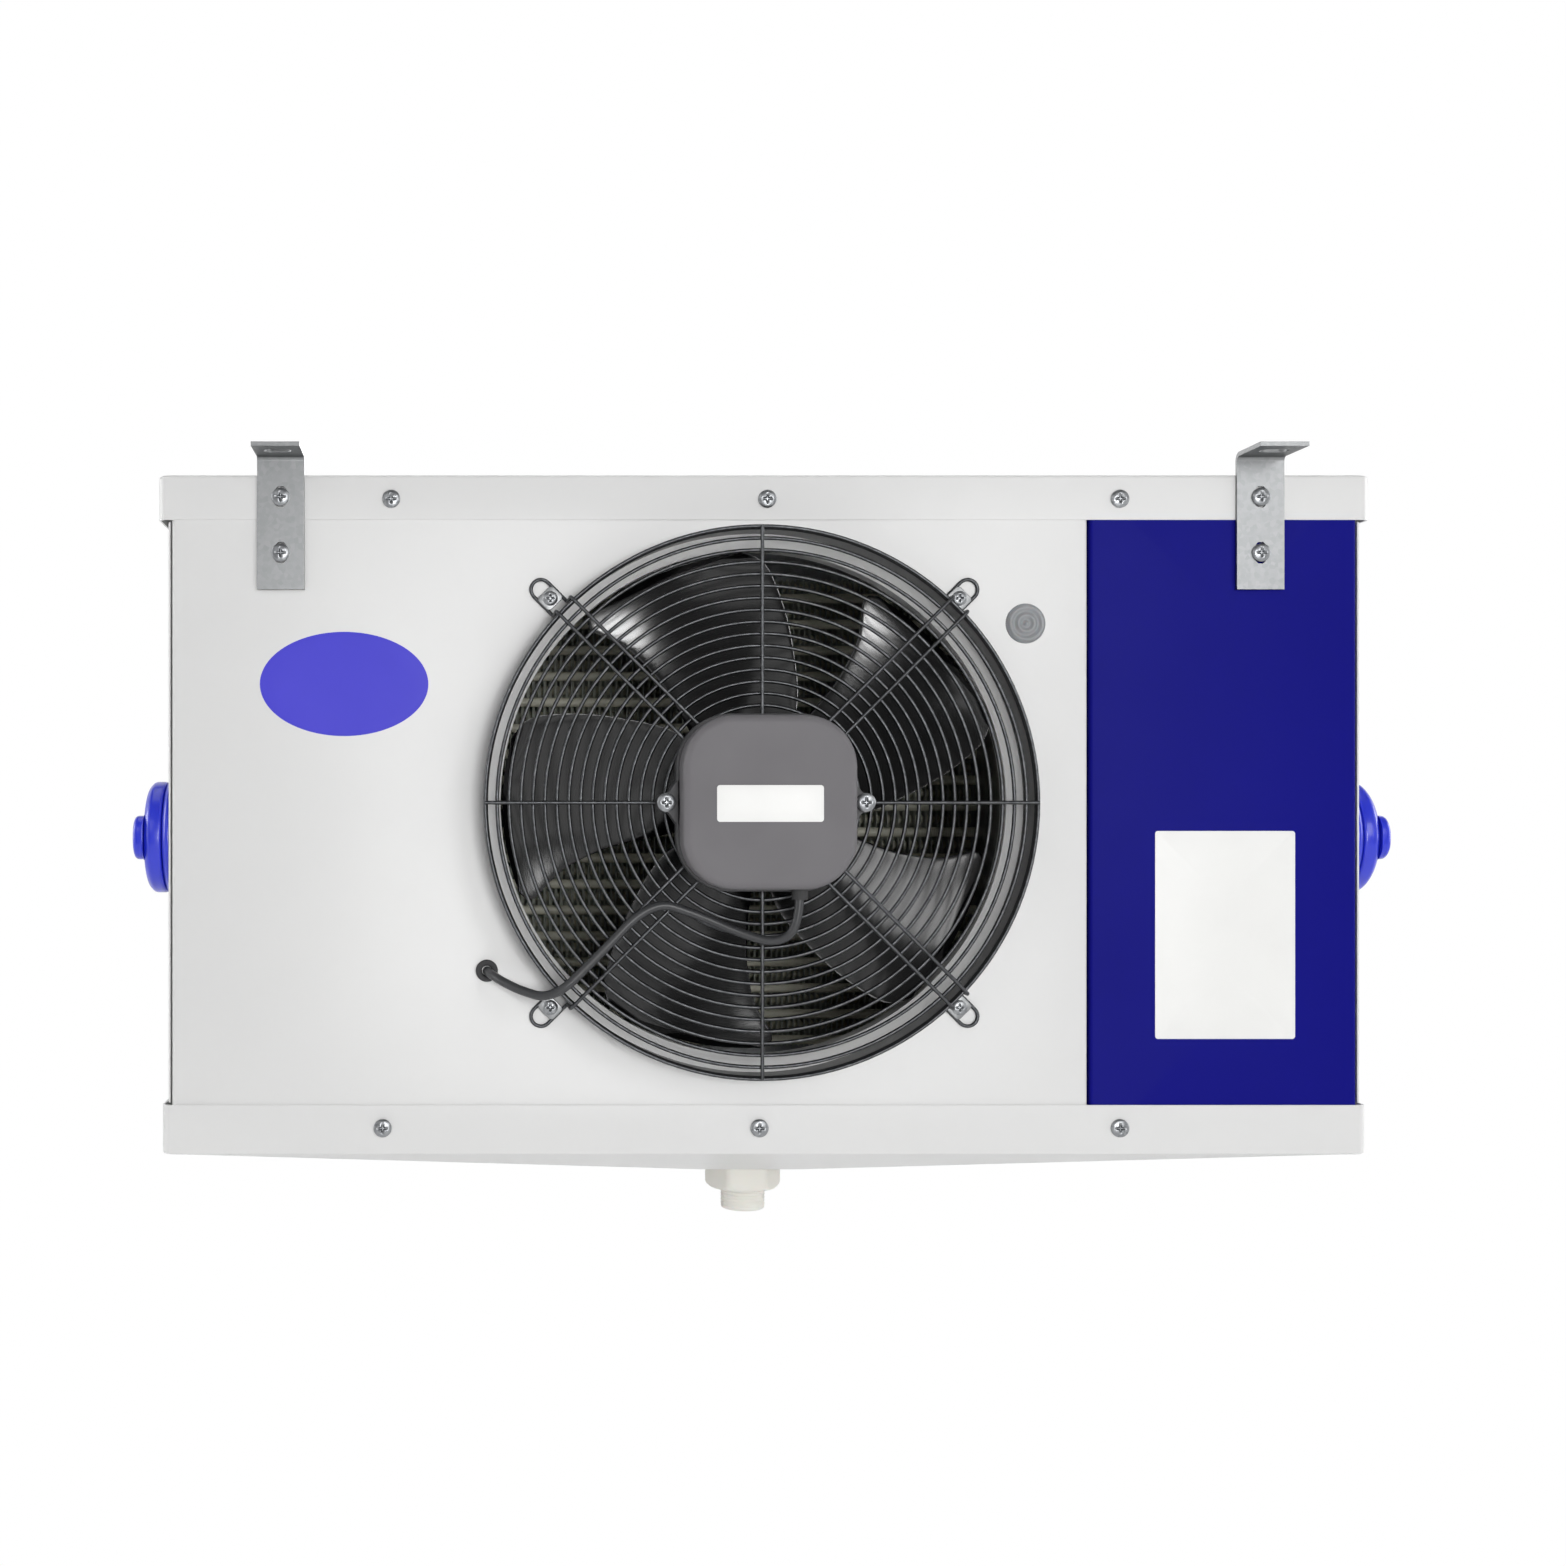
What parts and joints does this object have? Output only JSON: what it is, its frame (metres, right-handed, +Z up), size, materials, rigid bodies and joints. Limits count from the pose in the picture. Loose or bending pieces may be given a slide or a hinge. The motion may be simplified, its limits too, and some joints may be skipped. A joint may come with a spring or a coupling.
{
  "type": "walk-in unit cooler",
  "caption": "Ceiling-hung evaporator with a guarded axial fan, finned coil, sloping drain tray, hinged side doors with quarter-turn latches, and slotted hanging brackets.",
  "frame": {"origin": "middle of the four hanging slots, on the top faces of the hanging brackets", "axes": "+X to the right as seen from the fan side, +Y from the fan side to the rear, +Z up"},
  "size_m": [0.888, 0.4592, 0.549],
  "materials": {
    "casing_white": "semi-gloss powder coat, white",
    "cover_blue": "satin powder coat, dark blue",
    "galvanised": "bright zinc plated sheet",
    "guard_wire": "plated steel wire",
    "guard_band": "dark satin enamel",
    "screw_steel": "zinc plated",
    "motor_grey": "flat mid grey moulding",
    "motor_cast": "dark grey paint on a casting",
    "blade_black": "glossy black moulding",
    "shaft_steel": "ground",
    "winding": "laminations and windings",
    "rubber_black": "matt",
    "plug_grey": "grey moulding",
    "cable_black": "satin cable sheath",
    "fin_aluminium": "mill finish sheet",
    "copper": "dull copper tube",
    "drain_plastic": "warm off-white moulding",
    "latch_blue": "bright blue moulding",
    "box_grey": "light grey moulding"
  },
  "bodies": {
    "casing": {"blank_plug": "plug_grey", "cable_grommet": "rubber_black", "coil_fins": "fin_aluminium", "coil_tubes": "copper", "drain_gasket": "rubber_black", "drain_nut": "drain_plastic", "drain_stub": "drain_plastic", "drain_tray": "casing_white", "fan_cable": "cable_black", "feeder_tubes": "copper", "front_bearing": "shaft_steel", "front_panel": "casing_white", "guard_grille": "guard_wire", "guard_hoop": "guard_band", "guard_screws": "screw_steel", "hanger_front_left": "galvanised", "hanger_front_right": "galvanised", "hanger_rear_left": "galvanised", "hanger_rear_right": "galvanised", "hanger_screws": "screw_steel", "left_end_plate": "galvanised", "left_hinge_fixed": "galvanised", "left_hinge_pins": "screw_steel", "lid_screws": "screw_steel", "liquid_distributor": "copper", "motor_cover": "motor_grey", "motor_end_bell": "motor_cast", "motor_gland": "rubber_black", "motor_housing": "motor_cast", "motor_screws": "screw_steel", "pipe_grommets": "rubber_black", "rear_bearing": "shaft_steel", "rear_frame": "casing_white", "right_end_plate": "galvanised", "right_hinge_fixed": "galvanised", "right_hinge_pins": "screw_steel", "service_cover": "cover_blue", "stator": "winding", "suction_header": "copper", "terminal_box": "box_grey", "terminal_box_lid": "box_grey", "top_lid": "casing_white", "tray_screws": "screw_steel"},
    "fan_rotor": {"motor_rotor": "winding", "rotor_shaft": "shaft_steel", "fan_impeller": "blade_black"},
    "left_door": {"left_door": "casing_white", "left_hinge_moving": "galvanised", "left_latch_base": "latch_blue"},
    "right_door": {"right_door": "casing_white", "right_hinge_moving": "galvanised", "right_latch_base": "latch_blue"},
    "left_latch": {"left_latch_knob": "latch_blue", "left_latch_tongue": "screw_steel"},
    "right_latch": {"right_latch_knob": "latch_blue", "right_latch_tongue": "screw_steel"}
  },
  "joints": [
    {"name": "fan_spin", "type": "hinge", "parent": "casing", "child": "fan_rotor", "pos_m": [-0.011, 0, -0.2446], "axis": [0, -1, 0], "continuous": true},
    {"name": "right_door_hinge", "type": "hinge", "parent": "casing", "child": "right_door", "pos_m": [0.4179, 0.145, -0.251], "axis": [0, 0, 1], "range_deg": [0, 105]},
    {"name": "left_door_hinge", "type": "hinge", "parent": "casing", "child": "left_door", "pos_m": [-0.4259, 0.145, -0.251], "axis": [0, 0, -1], "range_deg": [0, 105]},
    {"name": "right_latch_turn", "type": "hinge", "parent": "right_door", "child": "right_latch", "pos_m": [0.413, -0.124, -0.269], "axis": [1, 0, 0], "range_deg": [0, 90]},
    {"name": "left_latch_turn", "type": "hinge", "parent": "left_door", "child": "left_latch", "pos_m": [-0.421, -0.124, -0.269], "axis": [1, 0, 0], "range_deg": [0, 90]}
  ]
}
